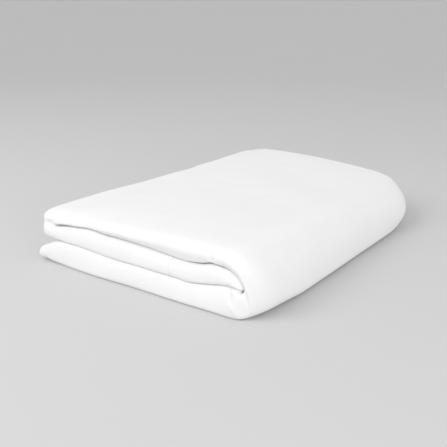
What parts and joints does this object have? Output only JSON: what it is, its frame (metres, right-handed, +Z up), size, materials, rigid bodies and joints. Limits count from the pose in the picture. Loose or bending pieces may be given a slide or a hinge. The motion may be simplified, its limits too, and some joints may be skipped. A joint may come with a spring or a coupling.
{
  "type": "folded mattress protector",
  "caption": "Filled cloth mattress protector, folded into a flat pack: a strip of plies letter-folded round a broad spine, with closed folds at one end.",
  "frame": {"origin": "middle of the underside, on the surface the pack lies on", "axes": "+X along the spine, from the end with the closed folds to the end with the hems; +Y across the pack, from the spine to the tight fold; +Z up"},
  "size_m": [0.5, 0.35, 0.0794],
  "materials": {
    "white_cloth": "soft matt white woven cloth over fibre filling, smooth, with soft fold creases"
  },
  "bodies": {
    "root": {"protector_panel": "white_cloth"}
  },
  "joints": []
}
